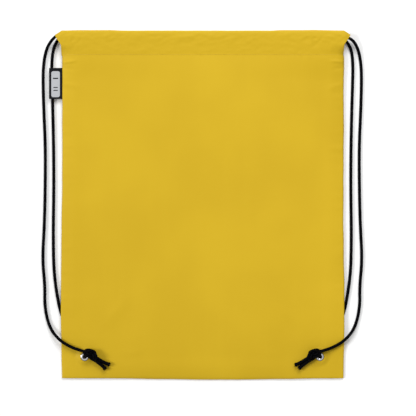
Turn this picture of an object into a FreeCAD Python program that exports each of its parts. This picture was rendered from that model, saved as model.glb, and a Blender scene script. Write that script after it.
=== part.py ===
"""A drawstring backpack lying flat, front face up: a cloth bag with a casing along each side of
its mouth, and two draw cords that are also its straps.

Frame: millimetres, +Z up out of the front of the bag, +Y towards the mouth, +X to the bag's
right as it is looked at. The origin is on the surface that the bag lies on, at the middle of
the bag's outline.
"""
import FreeCAD, Part
import math
import os
import Sketcher

from FreeCAD import Placement, Rotation, Vector

DRIVING_SIZES = {
    "bag_width": 340.0,
    "bag_height": 420.0,
    "hem_depth": 30.0,  # from the top fold down to the hem's stitches
    "cloth": 0.6,  # thickness of the cloth as modelled
    "cord_size": 3.2,  # diameter of the braided cord
    "cord_play": 0.2,  # room that a casing leaves above its cord
    "mouth_gap": 5.2,  # clear height between the two casings
    "loft_run": 40.0,  # how far the panels slope in from the sides to their flat middles
    "foot_depth": 60.0,  # the flat double layer along the bottom, which holds the eyelets
    "seam_level": 6.1,  # height at which front and back are sewn together
    "seam_width": 8.0,
    "hem_lap": 1.6,  # solid strip at the hem's stitches
    "tip_out": 7.0,  # how far a casing's pointed end stands out past the bag's side
    "tip_drop": 5.0,  # from the top fold down to that point
    "heel_out": 0.5,  # where the casing's slanted end meets the side
    "heel_drop": 17.5,
    "slit_half": 150.0,  # half the length of the casings' walls beside the mouth
    "fold_round": 1.2,  # rounding of a casing along its top fold
    "top_lane_drop": 2.6,  # the left cord's centre below the top fold
    "low_lane_drop": 7.2,  # the right cord's centre below the top fold
    "run_half": 158.0,  # where a cord's run in the casing meets its free strands
    "bight_at": 164.0,  # where a cord turns back from the front casing to the back one
    "eyelet_across": 142.2,
    "eyelet_up": 25.6,  # eyelet centre above the bottom edge
    "eyelet_hole": 5.0,
    "eyelet_barrel": 5.8,
    "eyelet_flange": 10.2,
    "flange_rise": 1.0,
    "washer_size": 9.4,
    "washer_rise": 0.8,
    "curl_size": 7.0,
    "curl_rise": 0.5,
    "patch_side": 46.0,
    "knot_length": 17.0,
    "knot_width": 14.6,
    "knot_rise": 10.6,
    "knot_round": 4.8,
    "knot_across": 135.5,
    "knot_up": 27.6,
    "knot_level": 13.6,
    "knot_turn": 34.0,  # degrees that the knot's line points down towards the middle
    "tail_length": 19.0,
    "tail_splay": 12.0,  # degrees between the two tails
    "tail_apart": 4.0,
    "label_length": 37.5,
    "label_width": 15.0,
    "label_gap": 0.5,  # bare stretch beside the seam, where the label bends
    "label_up": 337.5,  # the label's lower edge above the bag's bottom edge
    "label_thick": 0.5,
    "thread": 0.5,
}

SIDES = {"left": -1, "right": 1}

# Where each strand goes once it is clear of the casing, as (across, up, level) on the right.
# The left side is its mirror image. Both strands lie on the surface beside the bag.
OUTER_ROUTE = [
    (181.5, 199.5, 8.4),
    (189.0, 188.0, 3.9),
    (192.6, 170.0, 1.7),
    (193.1, 149.0, 1.6),
    (192.2, 115.0, 1.6),
    (190.2, 70.0, 1.6),
    (190.4, 22.0, 1.6),
    (191.4, -24.0, 1.6),
    (193.9, -67.0, 1.6),
    (190.7, -99.0, 1.6),
    (191.2, -124.0, 1.6),
    (185.6, -149.0, 2.2),
    (173.5, -164.0, 9.6),
    (158.5, -172.9, 11.6),
    (146.0, -176.8, 12.2),
    (136.5, -179.6, 12.6),
]
INNER_ROUTE = [
    (181.3, 185.5, 1.7),
    (182.7, 168.0, 1.6),
    (182.2, 146.0, 1.6),
    (181.2, 112.0, 1.6),
    (180.2, 66.0, 1.6),
    (180.0, 16.0, 1.6),
    (180.8, -34.0, 1.6),
    (180.2, -78.0, 1.6),
    (176.6, -108.0, 1.6),
    (171.2, -134.0, 1.6),
    (161.0, -155.0, 1.6),
    (152.0, -169.5, 1.6),
    (145.8, -179.0, 1.65),
    (142.2, -184.4, 1.9),
    (142.1, -184.3, 7.8),
    (139.6, -183.4, 13.4),
]
# The first points of each strand, between its lane in the casing and the routes above.
STRAND_STARTS = {
    ("left", "outer"): [(158.3, 207.4, 12.1), (171.0, 207.2, 12.0)],
    ("left", "inner"): [(158.3, 207.4, 2.3), (170.0, 207.2, 2.3), (177.0, 197.0, 2.3)],
    ("right", "outer"): [(158.3, 202.8, 12.1), (170.0, 202.9, 12.0)],
    ("right", "inner"): [(158.3, 202.8, 2.3), (169.0, 202.5, 2.3), (176.8, 195.6, 2.1)],
}


# ---------------------------------------------------------------- document and sheet

def make_sheet(doc):
    """The driving dimensions, one named cell each."""
    sheet = doc.addObject("Spreadsheet::Sheet", "sizes")
    for row, (name, value) in enumerate(DRIVING_SIZES.items(), start=1):
        sheet.set(f"A{row}", name)
        sheet.set(f"B{row}", str(value))
        sheet.setAlias(f"B{row}", name)
    doc.recompute()
    return sheet


def bind(thing, **formulas):
    """Set each named property from a formula; a name such as half_width reads its cell."""
    for prop, formula in formulas.items():
        thing.setExpression(prop.replace("__", "."), formula)


def cell(name):
    return f"sizes.{name}"


CASING_DEPTH = {"cord_size": 1, "cord_play": 1, "cloth": 2}


# ---------------------------------------------------------------- small helpers

def plane_of(body, role):
    return next(f for f in body.Origin.OriginFeatures if f.Role == role)


def new_sketch(body, name, role):
    sketch = body.newObject("Sketcher::SketchObject", name)
    sketch.AttachmentSupport = (plane_of(body, role), [""])
    sketch.MapMode = "FlatFace"
    return sketch


def new_body(doc, label):
    body = doc.addObject("PartDesign::Body", label)
    body.Label = label
    return body


def amount(size, terms):
    """A length in millimetres from its terms, such as {"bag_width": 0.5, "tip_out": 1}."""
    return sum(share * size(name) for name, share in terms.items())


def formula(terms):
    """The same length as a formula of sheet cells."""
    return " + ".join(f"{share} * {cell(name)}" for name, share in terms.items())


def opposite(terms):
    return {name: -share for name, share in terms.items()}


def outline(sketch, size, corners):
    """A closed outline of straight lines, each corner bound to the sheet both ways."""
    places = [Vector(amount(size, x), amount(size, y), 0) for x, y in corners]
    first = sketch.GeometryCount
    for start, end in zip(places, places[1:] + places[:1]):
        sketch.addGeometry(Part.LineSegment(start, end), False)
    last = sketch.GeometryCount - 1
    for index, (corner, place) in enumerate(zip(corners, places), start=first):
        before = last if index == first else index - 1
        sketch.addConstraint(Sketcher.Constraint("Coincident", before, 2, index, 1))
        for kind, terms, value in zip(("DistanceX", "DistanceY"), corner, place):
            made = sketch.addConstraint(Sketcher.Constraint(kind, -1, 1, index, 1, value))
            sketch.setExpression(f"Constraints[{made}]", formula(terms))


def box(doc, name, length, width, height, place):
    """A Part::Box whose sides and corner come from formulas."""
    made = doc.addObject("Part::Box", name)
    bind(made, Length=length, Width=width, Height=height)
    bind(made, Placement__Base__x=place[0], Placement__Base__y=place[1])
    bind(made, Placement__Base__z=place[2])
    return made


def boolean(doc, kind, name, base, tool):
    made = doc.addObject(kind, name)
    made.Base = base
    made.Tool = tool
    return made


def eyelet_place(side, level):
    """Formulas of a point on an eyelet's axis."""
    return {
        "Placement__Base__x": f"{SIDES[side]} * {cell('eyelet_across')}",
        "Placement__Base__y": f"{cell('eyelet_up')} - {cell('bag_height')} / 2",
        "Placement__Base__z": level,
    }


def feature(doc, label, shape):
    """A sub-part whose shape is computed here, in place."""
    made = doc.addObject("Part::Feature", label)
    made.Label = label
    made.Shape = shape
    made.Placement = Placement()
    return made


# ---------------------------------------------------------------- cloth panels

def loft_block(doc, name, up, inset):
    """The raised middle of a panel as a solid, grown or shrunk by inset at its slopes.

    A wedge stands on its Y axis, so it is turned to rise (or, for the back, to hang) along Z.
    """
    half = f"{cell('bag_width')} / 2 - {inset}"
    seam_half = f"{cell('cloth')} / 2"
    hang = f"{cell('seam_level')} - {seam_half} - {inset}"
    panel_top = f"2 * ({formula(CASING_DEPTH)}) + {cell('mouth_gap')} - {cell('cloth')}"
    rise = f"{panel_top} - {cell('seam_level')} - {seam_half} - {inset}" if up else hang
    mouth = f"{cell('bag_height')} / 2 - {cell('hem_depth')}"
    foot = f"{cell('bag_height')} / 2 - {cell('foot_depth')} - {inset}"
    block = doc.addObject("Part::Wedge", name)
    bind(block, Xmin=f"-({half})", Xmax=half, Ymax=rise)
    bind(block, X2min=f"-({half} - {cell('loft_run')})", X2max=f"{half} - {cell('loft_run')}")
    block.Ymin = 0
    if up:
        bind(block, Zmin=f"-({mouth} + 2 * ({inset}))", Z2min=f"-({mouth} + 2 * ({inset}))")
        bind(block, Zmax=foot, Z2max=f"{foot} - {cell('loft_run')}")
    else:
        bind(block, Zmax=f"{mouth} + 2 * ({inset})", Z2max=f"{mouth} + 2 * ({inset})")
        bind(block, Zmin=f"-({foot})", Z2min=f"-({foot} - {cell('loft_run')})")
    level = f"{cell('seam_level')} + {seam_half}" if up else f"{cell('seam_level')} - {seam_half}"
    block.Placement = Placement(Vector(), Rotation(Vector(1, 0, 0), 90 if up else -90))
    bind(block, Placement__Base__z=level)
    return block


def make_panel(doc, label, up):
    """Front or back: a flat foot with its eyelet holes, and a lofted middle that is hollow."""
    foot_level = (
        f"{cell('seam_level')} + {cell('cloth')} / 2"
        if up else f"{cell('seam_level')} - 1.5 * {cell('cloth')}"
    )
    foot = box(
        doc, f"{label}_foot",
        cell("bag_width"), f"{cell('foot_depth')} + 2 * {cell('cloth')}", cell("cloth"),
        (f"-{cell('bag_width')} / 2", f"-{cell('bag_height')} / 2", foot_level),
    )
    outer = loft_block(doc, f"{label}_outside", up, "0")
    inner = loft_block(doc, f"{label}_inside", up, cell("cloth"))
    solid = boolean(doc, "Part::Fuse", f"{label}_solid", outer, foot)
    cloth = boolean(doc, "Part::Cut", f"{label}_hollow", solid, inner)
    for side in SIDES:
        hole = doc.addObject("Part::Cylinder", f"{label}_{side}_hole")
        bind(hole, Radius=f"{cell('eyelet_barrel')} / 2", Height=f"2 * {cell('seam_level')}")
        bind(hole, **eyelet_place(side, "0"))
        cloth = boolean(doc, "Part::Cut", f"{label}_{side}_cut", cloth, hole)
    cloth.Label = label
    return cloth


# ---------------------------------------------------------------- casings

def casing_plan():
    """Corners of a casing seen from the front: straight hem, pointed ends."""
    right = [
        ({"bag_width": 0.5}, {"bag_height": 0.5, "hem_depth": -1}),
        ({"bag_width": 0.5, "heel_out": 1}, {"bag_height": 0.5, "heel_drop": -1}),
        ({"bag_width": 0.5, "tip_out": 1}, {"bag_height": 0.5, "tip_drop": -1}),
        ({"bag_width": 0.5}, {"bag_height": 0.5}),
    ]
    return right + [(opposite(across), up) for across, up in reversed(right)]


def casing_tunnel(doc, body, label, size):
    """Cut the lane for the cords right through the casing, from end to end."""
    hem = {"bag_height": 0.5, "hem_depth": -1, "hem_lap": 1}
    fold = {"bag_height": 0.5, "cloth": -1}
    low = {"cloth": 1}
    high = {"cord_size": 1, "cord_play": 1, "cloth": 1}
    lane = new_sketch(body, f"{label}_lane", "YZ_Plane")
    outline(lane, size, [(hem, low), (fold, low), (fold, high), (hem, high)])
    tunnel = body.newObject("PartDesign::Pocket", f"{label}_tunnel")
    tunnel.Profile = lane
    tunnel.Type = "ThroughAll"
    tunnel.Midplane = True
    doc.recompute()
    return tunnel


def casing_slits(doc, body, label, size, up):
    """Cut away both ends of the wall beside the mouth, where the cords turn back."""
    near = {"slit_half": 1}
    far = {"bag_width": 0.5, "tip_out": 2}
    hem = {"bag_height": 0.5, "hem_depth": -1, "hem_lap": 1}
    top = {"bag_height": 0.5, "cloth": 1}
    plan = new_sketch(body, f"{label}_slits", "XY_Plane")
    outline(plan, size, [(near, hem), (far, hem), (far, top), (near, top)])
    outline(plan, size, [
        (opposite(far), hem), (opposite(near), hem), (opposite(near), top), (opposite(far), top),
    ])
    # The cut runs up from the sketch through one wall, which is the lower one on the front.
    start = -size("cloth") if up else amount(size, CASING_DEPTH) - size("cloth")
    plan.AttachmentOffset = Placement(Vector(0, 0, start), Rotation())
    slits = body.newObject("PartDesign::Pocket", f"{label}_slits_cut")
    slits.Profile = plan
    slits.Type = "Length"
    slits.Reversed = True
    bind(slits, Length=f"2 * {cell('cloth')}")
    doc.recompute()
    return slits


def casing_fold(doc, body, label, size, base):
    """Round the two long edges of the top fold."""
    top = size("bag_height") / 2
    edges = [
        f"Edge{number}"
        for number, edge in enumerate(base.Shape.Edges, start=1)
        if edge.Length > size("bag_width") / 2
        and all(abs(end.Y - top) < size("cloth") / 2 for end in edge.Vertexes)
    ]
    fold = body.newObject("PartDesign::Fillet", f"{label}_fold")
    fold.Base = (base, edges)
    bind(fold, Radius=cell("fold_round"))
    doc.recompute()
    return fold


def make_casing(doc, label, size, up):
    """A flat tube of cloth with room for both cords, open at its pointed ends."""
    body = new_body(doc, label)
    if up:
        bind(body, Placement__Base__z=f"{formula(CASING_DEPTH)} + {cell('mouth_gap')}")
    plan = new_sketch(body, f"{label}_plan", "XY_Plane")
    outline(plan, size, casing_plan())
    pad = body.newObject("PartDesign::Pad", f"{label}_block")
    pad.Profile = plan
    bind(pad, Length=formula(CASING_DEPTH))
    doc.recompute()
    solid = pad.Shape.Volume
    tunnel = casing_tunnel(doc, body, label, size)
    tunnelled = tunnel.Shape.Volume
    slits = casing_slits(doc, body, label, size, up)
    slit = slits.Shape.Volume
    if not solid > tunnelled > slit:
        raise RuntimeError(f"a cut in {label} removed nothing: {solid}, {tunnelled}, {slit}")
    body.Tip = casing_fold(doc, body, label, size, slits)
    return body


# ---------------------------------------------------------------- seams, patches, threads

def make_seam(doc, side, sign):
    """Seam allowance between front and back, along one side."""
    across = f"{cell('bag_width')} / 2"
    start = f"-({across})" if sign < 0 else f"{across} - {cell('seam_width')}"
    return box(
        doc, f"{side}_side_seam",
        cell("seam_width"), f"{cell('bag_height')} - {cell('hem_depth')}", cell("cloth"),
        (start, f"-{cell('bag_height')} / 2", f"{cell('seam_level')} - {cell('cloth')} / 2"),
    )


def make_bottom_seam(doc):
    """Allowance along the bottom edge, between the two side seams."""
    inner = f"{cell('bag_width')} / 2 - {cell('seam_width')}"
    return box(
        doc, "bottom_seam",
        f"2 * ({inner})", cell("seam_width"), cell("cloth"),
        (f"-({inner})", f"-{cell('bag_height')} / 2",
         f"{cell('seam_level')} - {cell('cloth')} / 2"),
    )


def make_patch(doc, side, sign):
    """Reinforcement sewn into a bottom corner around the eyelet, between the layers."""
    inner = f"{cell('bag_width')} / 2 - {cell('seam_width')}"
    start = f"-({inner})" if sign < 0 else f"{inner} - {cell('patch_side')}"
    patch = box(
        doc, f"{side}_patch_sheet",
        cell("patch_side"), cell("patch_side"), cell("cloth"),
        (start, f"{cell('seam_width')} - {cell('bag_height')} / 2",
         f"{cell('seam_level')} - {cell('cloth')} / 2"),
    )
    hole = doc.addObject("Part::Cylinder", f"{side}_patch_hole")
    bind(hole, Radius=f"{cell('eyelet_barrel')} / 2", Height=f"2 * {cell('seam_level')}")
    bind(hole, **eyelet_place(side, "0"))
    made = boolean(doc, "Part::Cut", f"{side}_corner_patch", patch, hole)
    made.Label = f"{side}_corner_patch"
    return made


def thread_rod(doc, label, length, start, direction):
    """A straight line of stitches as one thin rod from start, along direction."""
    rod = doc.addObject("Part::Cylinder", label)
    rod.Label = label
    bind(rod, Radius=f"{cell('thread')} / 2", Height=length)
    rod.Placement = Placement(Vector(), Rotation(Vector(0, 0, 1), direction))
    bind(rod, Placement__Base__x=start[0], Placement__Base__y=start[1])
    bind(rod, Placement__Base__z=start[2])
    return rod


def make_threads(doc):
    """Stitches: one line through each casing's hem, and one along each side seam."""
    half = f"{cell('bag_width')} / 2"
    radius = f"{cell('thread')} / 2"
    hem = f"{cell('bag_height')} / 2 - {cell('hem_depth')} + {cell('hem_lap')} / 2"
    front_face = f"2 * ({formula(CASING_DEPTH)}) + {cell('mouth_gap')}"
    made = [
        thread_rod(doc, f"{label}_hem_thread", f"2 * ({half})", (f"-({half})", hem, level),
                   Vector(1, 0, 0))
        for label, level in (("front", front_face), ("back", radius))
    ]
    inner = f"({half} - {cell('seam_width')} - {radius})"
    for side, sign in SIDES.items():
        made.append(thread_rod(
            doc, f"{side}_seam_thread",
            f"{cell('bag_height')} - {cell('hem_depth')} - {cell('foot_depth')}",
            (f"{sign} * {inner}", f"{cell('foot_depth')} - {cell('bag_height')} / 2",
             cell("seam_level")),
            Vector(0, 1, 0),
        ))
    return made


# ---------------------------------------------------------------- eyelets

def make_eyelet(doc, side, size):
    """Flange on the front, barrel through all layers, and a curl below the washer."""
    hole = {"eyelet_hole": 0.5}
    barrel = {"eyelet_barrel": 0.5}
    flange = {"eyelet_flange": 0.5}
    rounded = {"eyelet_flange": 0.5, "flange_rise": -0.6}
    curl = {"curl_size": 0.5}
    face = {"seam_level": 1, "cloth": 1.5}
    shoulder = {"seam_level": 1, "cloth": 1.5, "flange_rise": 0.5}
    crown = {"seam_level": 1, "cloth": 1.5, "flange_rise": 1}
    washer_low = {"seam_level": 1, "cloth": -1.5, "washer_rise": -1}
    foot = {"seam_level": 1, "cloth": -1.5, "washer_rise": -1, "curl_rise": -1}
    body = new_body(doc, f"{side}_eyelet")
    bind(body, **eyelet_place(side, "0"))
    profile = new_sketch(body, f"{side}_eyelet_profile", "XZ_Plane")
    outline(profile, size, [
        (hole, foot), (curl, foot), (curl, washer_low), (barrel, washer_low), (barrel, face),
        (flange, face), (flange, shoulder), (rounded, crown), (hole, crown),
    ])
    turned = body.newObject("PartDesign::Revolution", f"{side}_eyelet_ring")
    turned.Profile = profile
    turned.ReferenceAxis = (profile, ["V_Axis"])
    turned.Angle = 360
    doc.recompute()
    body.Tip = turned
    return body


def make_washer(doc, side):
    """Ring that clamps the cloth from behind."""
    level = f"{cell('seam_level')} - 1.5 * {cell('cloth')} - {cell('washer_rise')}"
    ring = doc.addObject("Part::Cylinder", f"{side}_washer_rim")
    bind(ring, Radius=f"{cell('washer_size')} / 2", Height=cell("washer_rise"))
    bind(ring, **eyelet_place(side, level))
    hole = doc.addObject("Part::Cylinder", f"{side}_washer_hole")
    bind(hole, Radius=f"{cell('eyelet_barrel')} / 2", Height=cell("washer_rise"))
    bind(hole, **eyelet_place(side, level))
    made = boolean(doc, "Part::Cut", f"{side}_eyelet_washer", ring, hole)
    made.Label = f"{side}_eyelet_washer"
    return made


# ---------------------------------------------------------------- label

def make_label(doc):
    """Folded woven label that stands out of the left seam and can be turned up."""
    hinge = f"-{cell('bag_width')} / 2 - {cell('label_gap')}"
    return box(
        doc, "side_label",
        cell("label_width"), cell("label_length"), cell("label_thick"),
        (f"{hinge} - {cell('label_width')}", f"{cell('label_up')} - {cell('bag_height')} / 2",
         f"{cell('seam_level')} - {cell('label_thick')} / 2"),
    )


# ---------------------------------------------------------------- cords

def tube_along(points, diameter, name):
    """A tube of straight runs joined by tangent arcs, each as large as its runs allow."""
    points = [Vector(*p) for p in points]
    edges = []
    radii = []
    start = points[0]
    for before, corner, after in zip(points, points[1:], points[2:]):
        back = before - corner
        ahead = after - corner
        shorter = min(back.Length, ahead.Length)
        turn = math.pi - back.getAngle(ahead)
        reach = 0.45 * shorter
        radii.append(reach / math.tan(turn / 2))
        back.normalize()
        ahead.normalize()
        enter = corner + back * reach
        leave = corner + ahead * reach
        inward = back + ahead
        inward.normalize()
        centre = corner + inward * math.hypot(radii[-1], reach)
        middle = centre - inward * radii[-1]
        edges.append(Part.LineSegment(start, enter).toShape())
        edges.append(Part.Arc(enter, middle, leave).toShape())
        start = leave
    edges.append(Part.LineSegment(start, points[-1]).toShape())
    path = Part.Wire(edges)
    heading = points[1] - points[0]
    section = Part.Wire(Part.makeCircle(diameter / 2, points[0], heading))
    tube = path.makePipeShell([section], True, False)
    ideal = math.pi * diameter ** 2 / 4 * path.Length
    print(
        f"{name}: length {path.Length:.1f}, smallest radius {min(radii):.1f},"
        f" volume ratio {tube.Volume / ideal:.4f}"
    )
    return tube


def lane_up(side, size):
    drop = size("top_lane_drop") if side == "left" else size("low_lane_drop")
    return size("bag_height") / 2 - drop


def make_run(doc, side, sign, size):
    """A cord's stretch inside the casings: across the front, round the far end and back."""
    depth = size("cord_size") + size("cord_play") + 2 * size("cloth")
    back_level = depth / 2
    front_level = back_level + depth + size("mouth_gap")
    up = lane_up(side, size)
    mine = sign * size("run_half")
    far = -sign * size("bight_at")
    reach = (front_level - back_level) / 2
    middle = Vector(far - sign * reach, up, (front_level + back_level) / 2)
    path = Part.Wire([
        Part.LineSegment(Vector(mine, up, front_level), Vector(far, up, front_level)).toShape(),
        Part.Arc(Vector(far, up, front_level), middle, Vector(far, up, back_level)).toShape(),
        Part.LineSegment(Vector(far, up, back_level), Vector(mine, up, back_level)).toShape(),
    ])
    section = Part.Wire(
        Part.makeCircle(size("cord_size") / 2, Vector(mine, up, front_level), Vector(-sign, 0, 0))
    )
    tube = path.makePipeShell([section], True, False)
    ideal = math.pi * size("cord_size") ** 2 / 4 * path.Length
    print(f"{side}_cord_run: length {path.Length:.1f}, bight radius {reach:.1f},"
          f" volume ratio {tube.Volume / ideal:.4f}")
    return feature(doc, f"{side}_cord_run", tube)


def make_strands(doc, side, sign, size):
    """The two free strands of one cord, from the casing down to the knot."""
    made = []
    for strand, route in (("outer", OUTER_ROUTE), ("inner", INNER_ROUTE)):
        points = [
            (sign * across, up, level)
            for across, up, level in STRAND_STARTS[side, strand] + route
        ]
        name = f"{side}_{strand}_strand"
        made.append(feature(doc, name, tube_along(points, size("cord_size"), name)))
    return made


def knot_point(sign, size, drop=0.0):
    """The knot's centre, or a point below it."""
    return Vector(
        sign * size("knot_across"),
        size("knot_up") - size("bag_height") / 2,
        size("knot_level") - drop,
    )


def make_knot(doc, side, sign, size):
    """Outer shape of the overhand knot that both ends of a cord are tied in."""
    block = doc.addObject("Part::Box", f"{side}_knot_block")
    bind(block, Length=cell("knot_length"), Width=cell("knot_width"), Height=cell("knot_rise"))
    turned = Rotation(Vector(0, 0, 1), sign * size("knot_turn"))
    corner = Vector(-size("knot_length") / 2, -size("knot_width") / 2, -size("knot_rise") / 2)
    block.Placement = Placement(knot_point(sign, size) + turned.multVec(corner), turned)
    doc.recompute()
    rounded = doc.addObject("Part::Fillet", f"{side}_knot")
    rounded.Label = f"{side}_knot"
    rounded.Base = block
    radius = size("knot_round")
    rounded.Edges = [(number, radius, radius) for number in range(1, 13)]
    return rounded


def make_tails(doc, side, sign, size):
    """The two cut ends that stick out of a knot, as a pair of separate rods."""
    line = math.radians(size("knot_turn"))
    inward = Vector(-sign * math.cos(line), -math.sin(line), 0)
    aside = Vector(inward.y, -inward.x, 0)
    start = knot_point(sign, size, drop=size("cord_size") / 2)
    start += inward * (size("knot_length") / 2 - size("cord_size") / 2)
    cloth_top = size("seam_level") + 1.5 * size("cloth")
    rods = []
    for way in (-1, 1):
        heading = Rotation(Vector(0, 0, 1), way * size("tail_splay") / 2).multVec(inward)
        root = start - aside * (way * size("tail_apart") / 2)
        tip = root + heading * size("tail_length")
        tip.z = cloth_top + 0.6 * size("cord_size")
        reach = tip - root
        rods.append(Part.makeCylinder(size("cord_size") / 2, reach.Length, root, reach))
    return feature(doc, f"{side}_cord_tails", Part.makeCompound(rods))


# ---------------------------------------------------------------- the whole bag

def build(doc):
    sheet = make_sheet(doc)

    def size(name):
        return float(sheet.get(name))

    made = [
        make_panel(doc, "front_panel", True),
        make_panel(doc, "back_panel", False),
        make_casing(doc, "front_casing", size, True),
        make_casing(doc, "back_casing", size, False),
        make_bottom_seam(doc),
    ]
    made += make_threads(doc)
    made.append(make_label(doc))
    for side, sign in SIDES.items():
        made.append(make_seam(doc, side, sign))
        made.append(make_patch(doc, side, sign))
        made.append(make_eyelet(doc, side, size))
        made.append(make_washer(doc, side))
        made.append(make_run(doc, side, sign, size))
        made += make_strands(doc, side, sign, size)
        made.append(make_knot(doc, side, sign, size))
        made.append(make_tails(doc, side, sign, size))
    return made


def check(doc, made):
    """Stop if any object failed to compute or any sub-part's shape is empty or invalid."""
    doc.recompute()
    for thing in doc.Objects:
        if "Invalid" in thing.State or "Error" in thing.State:
            raise RuntimeError(f"{thing.Name} is {thing.State}")
    for thing in made:
        if thing.Shape.isNull() or not thing.Shape.isValid():
            raise RuntimeError(f"{thing.Label} has no valid shape")
        print(f"{thing.Label}: {len(thing.Shape.Solids)} solid(s), {thing.Shape.Volume:.0f} mm3")


def main():
    doc = FreeCAD.newDocument("drawstring_backpack")
    made = build(doc)
    check(doc, made)
    os.makedirs("parts", exist_ok=True)
    for thing in made:
        thing.Shape.exportStep(os.path.join("parts", f"{thing.Label}.step"))


main()
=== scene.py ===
"""Looks of the drawstring backpack: thin yellow cloth with two black braided cords, in the CAD frame.

Lengths are in millimetres up to the point where a mesh or curve is made, and positions follow the CAD
solids that each piece stands for.
"""

import math

import bpy
import numpy as np
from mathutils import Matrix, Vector, noise


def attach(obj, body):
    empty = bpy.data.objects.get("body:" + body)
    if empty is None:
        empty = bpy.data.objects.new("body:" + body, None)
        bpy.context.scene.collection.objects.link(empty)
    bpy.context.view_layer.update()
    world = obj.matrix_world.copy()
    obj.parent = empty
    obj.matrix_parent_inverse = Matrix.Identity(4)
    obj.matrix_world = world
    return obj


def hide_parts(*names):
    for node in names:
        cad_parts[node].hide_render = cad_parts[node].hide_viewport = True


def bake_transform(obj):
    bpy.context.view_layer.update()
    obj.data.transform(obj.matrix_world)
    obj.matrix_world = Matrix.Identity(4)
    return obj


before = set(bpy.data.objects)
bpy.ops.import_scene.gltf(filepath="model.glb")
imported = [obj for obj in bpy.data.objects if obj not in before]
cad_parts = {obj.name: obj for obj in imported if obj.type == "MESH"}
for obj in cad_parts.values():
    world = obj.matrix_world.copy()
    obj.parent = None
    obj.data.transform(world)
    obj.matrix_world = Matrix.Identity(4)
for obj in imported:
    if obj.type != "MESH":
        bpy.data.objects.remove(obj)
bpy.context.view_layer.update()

MM = 0.001
SCENE = bpy.context.scene
SIDES = {"left": -1, "right": 1}

# ---------------------------------------------------------------- camera

VIEW_WIDTH = 503.4
VIEW_CENTRE = (6.9, -4.5)
CAMERA_HEIGHT = 2000.0
BAG_MIDDLE_HEIGHT = 6.0
SENSOR_WIDTH = 36.0


def make_camera():
    """Looks straight down on the bag from far away."""
    data = bpy.data.cameras.new("camera")
    data.sensor_width = SENSOR_WIDTH
    data.lens = SENSOR_WIDTH * CAMERA_HEIGHT / VIEW_WIDTH
    camera = bpy.data.objects.new("camera", data)
    camera.location = (
        VIEW_CENTRE[0] * MM,
        VIEW_CENTRE[1] * MM,
        (CAMERA_HEIGHT + BAG_MIDDLE_HEIGHT) * MM,
    )
    SCENE.collection.objects.link(camera)
    SCENE.camera = camera


# ---------------------------------------------------------------- materials

RIDGE_SHARE, CROSSING_SHARE = 0.35, 0.3
CLOTH_WEAVE_PITCH = 0.00042
LABEL_WEAVE_PITCH = 0.00035
THREAD_WANDER = 0.0004
# Streak lightening, and the painted shade in the weave's gaps and over the hem band.
STREAK_SHARE, GAP_SHADE_SHARE, BAND_SHADE_SHARE = 0.12, 0.22, 0.8
HEM_LOW, HEM_HIGH = 0.179, 0.186
CREST_LOW, CREST_HIGH = 0.199, 0.205
CLOTH_YELLOW = (0.58, 0.382, 0.0125, 1)
CLOTH_DARK = (0.545, 0.354, 0.0105, 1)
CLOTH_LIGHT = (0.60, 0.40, 0.014, 1)
SHEEN_YELLOW = (1.0, 0.8, 0.15, 1.0)
BRAID_TURNS = 8.0
BRAID_GAP_SHADE = (0.0002, 0.0002, 0.0003, 1)
BRAID_YARN = (0.0012, 0.0012, 0.0022, 1)
BRAID_FIBRES = (0.002, 0.002, 0.0036, 1)
LABEL_BLACK, LABEL_BLACK_DARK = (0.0025, 0.003, 0.006, 1), (0.001, 0.001, 0.002, 1)
LABEL_GREY, LABEL_GREY_DARK = (0.50, 0.51, 0.53, 1), (0.34, 0.35, 0.37, 1)
THREAD_DARK, THREAD_LIGHT = (0.50, 0.33, 0.014, 1), (0.68, 0.47, 0.03, 1)
NICKEL, NICKEL_DULL, PAINTED_RIM_REFLECTION = (0.92, 0.92, 0.93, 1), (0.80, 0.80, 0.82, 1), (0.10, 0.10, 0.11, 1)
RIM_START, RIM_FULL = 0.0041, 0.0047
TABLE_WHITE, TABLE_BRIGHT = (0.93, 0.93, 0.93, 1), (0.95, 0.95, 0.95, 1)


class Graph:
    """Short names for building one material's node tree."""

    def __init__(self, name):
        self.material = bpy.data.materials.new(name)
        self.material.use_nodes = True
        self.tree = self.material.node_tree
        self.shader = self.tree.nodes["Principled BSDF"]

    def add(self, kind, inputs=None, **settings):
        node = self.tree.nodes.new(kind)
        for key, value in settings.items():
            setattr(node, key, value)
        for key, value in (inputs or {}).items():
            self.put(node.inputs[key], value)
        return node

    def put(self, socket, value):
        if isinstance(value, bpy.types.NodeSocket):
            self.tree.links.new(value, socket)
        else:
            socket.default_value = value

    def math(self, operation, *values):
        node = self.add("ShaderNodeMath", operation=operation)
        for socket, value in zip(node.inputs, values):
            self.put(socket, value)
        return node.outputs[0]

    def noise(self, vector, scale, detail=2.0, stretch=None):
        if stretch:
            vector = self.add("ShaderNodeMapping", {"Vector": vector, "Scale": stretch}).outputs[0]
        inputs = {"Vector": vector, "Scale": scale, "Detail": detail}
        return self.add("ShaderNodeTexNoise", inputs).outputs["Fac"]

    def ramp(self, value, low, high, to_low=0.0, to_high=1.0):
        inputs = {0: value, 1: low, 2: high, 3: to_low, 4: to_high}
        return self.add("ShaderNodeMapRange", inputs, interpolation_type="SMOOTHSTEP").outputs[0]

    def mix(self, factor, first, second):
        node = self.add("ShaderNodeMix", {0: factor}, data_type="RGBA")
        self.put(node.inputs[6], first)
        self.put(node.inputs[7], second)
        return node.outputs[2]

    def bump(self, height, distance, strength=1.0, below=None):
        inputs = {"Height": height, "Distance": distance, "Strength": strength}
        if below is not None:
            inputs["Normal"] = below
        return self.add("ShaderNodeBump", inputs).outputs[0]

    def finish(self, **sockets):
        for key, value in sockets.items():
            self.put(self.shader.inputs[key.replace("_", " ")], value)
        return self.material


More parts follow.
